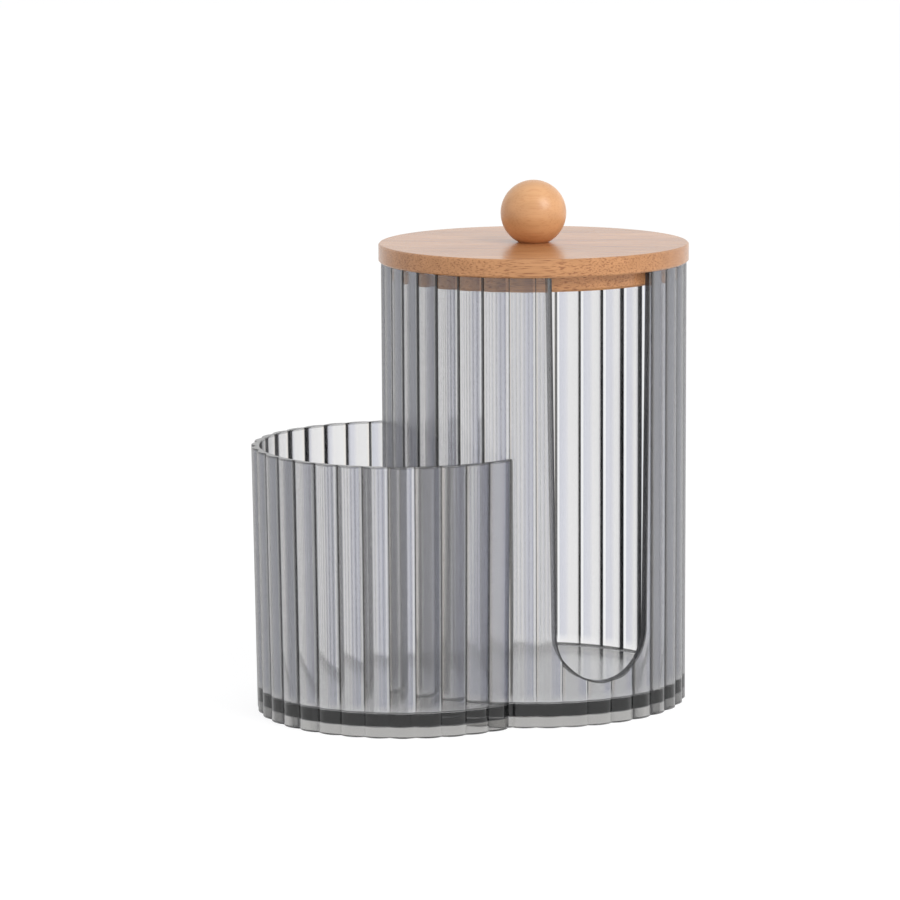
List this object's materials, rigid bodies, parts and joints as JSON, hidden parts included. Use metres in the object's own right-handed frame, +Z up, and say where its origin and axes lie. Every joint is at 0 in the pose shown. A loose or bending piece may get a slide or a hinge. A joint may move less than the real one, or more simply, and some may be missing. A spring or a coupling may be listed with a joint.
{
  "type": "cotton swab box",
  "caption": "Round fluted clear-plastic canister with a side slot and a lift-off wooden lid with a ball knob, joined to a lower open fluted cup.",
  "frame": {"origin": "on the table, at the centre of the part's outline", "axes": "+Z up through the lid, cup towards -X, slot towards -Y"},
  "size_m": [0.1221, 0.085, 0.1439],
  "materials": {
    "smoky_plastic": "clear smoky grey moulded plastic, polished",
    "bamboo": "bamboo board, satin lacquer",
    "knob_wood": "turned pale wood, satin lacquer",
    "screw_steel": "zinc-plated steel"
  },
  "bodies": {
    "holder": {"twin_shell": "smoky_plastic"},
    "lid": {"lid_board": "bamboo", "lid_plug": "bamboo", "ball_knob": "knob_wood", "knob_screw": "screw_steel"}
  },
  "joints": [
    {"name": "lid_lift", "type": "slide", "parent": "holder", "child": "lid", "axis": [0, 0, 1], "range_m": [0, 0.06]}
  ]
}
